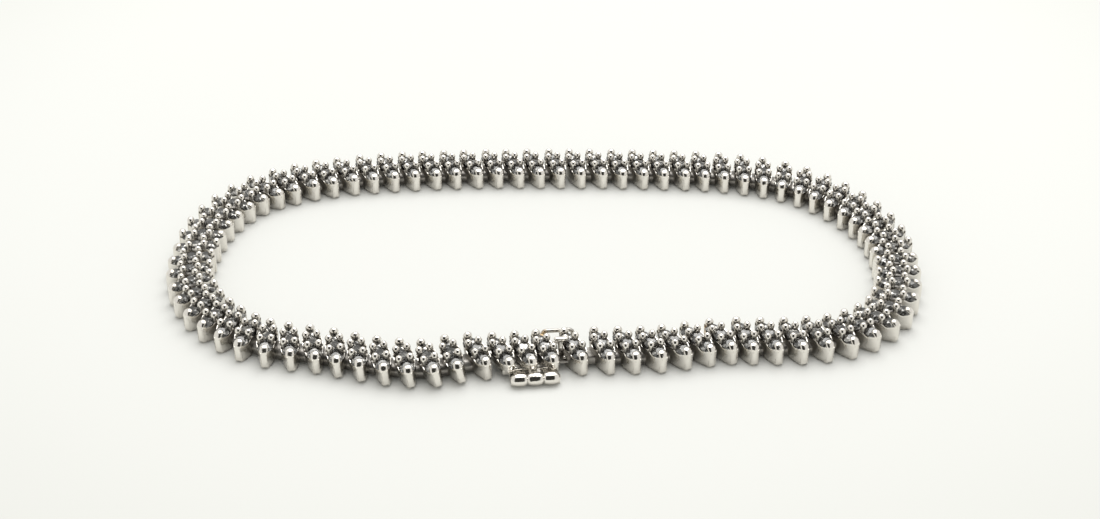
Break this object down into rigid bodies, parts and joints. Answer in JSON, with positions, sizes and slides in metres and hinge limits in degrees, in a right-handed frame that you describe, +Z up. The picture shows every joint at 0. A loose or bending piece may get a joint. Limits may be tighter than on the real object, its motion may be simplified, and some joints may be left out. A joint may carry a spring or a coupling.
{
  "type": "tennis bracelet",
  "caption": "Closed loop of boat-shaped settings, each holding a row of three round stones across the band, with a box clasp, hinged guard plate and wire safety catch.",
  "frame": {"origin": "middle of the footprint on the table, under the loop", "axes": "+X along the loop's long way, +Y away from the clasp, +Z up from the table"},
  "size_m": [0.074, 0.0414, 0.0031],
  "materials": {
    "white_gold": "polished rhodium-plated white gold holding pale grey round diamonds",
    "clasp_gold": "polished white gold, lightly worn"
  },
  "bodies": {
    "bracelet": {"chain_right_half": "white_gold", "chain_left_half": "white_gold", "clasp_box": "white_gold", "clasp_tongue": "white_gold"},
    "guard": {"safety_guard": "clasp_gold"},
    "catch": {"safety_wire": "clasp_gold"}
  },
  "joints": [
    {"name": "guard_hinge", "type": "hinge", "parent": "bracelet", "child": "guard", "pos_m": [-0.00067, -0.01964, 0.00064], "axis": [-0.9936, -0.1132, 0], "range_deg": [0, 150]},
    {"name": "catch_hinge", "type": "hinge", "parent": "bracelet", "child": "catch", "pos_m": [-0.00002, -0.01372, 0.00116], "axis": [0, 0, 1], "range_deg": [0, 110]}
  ]
}
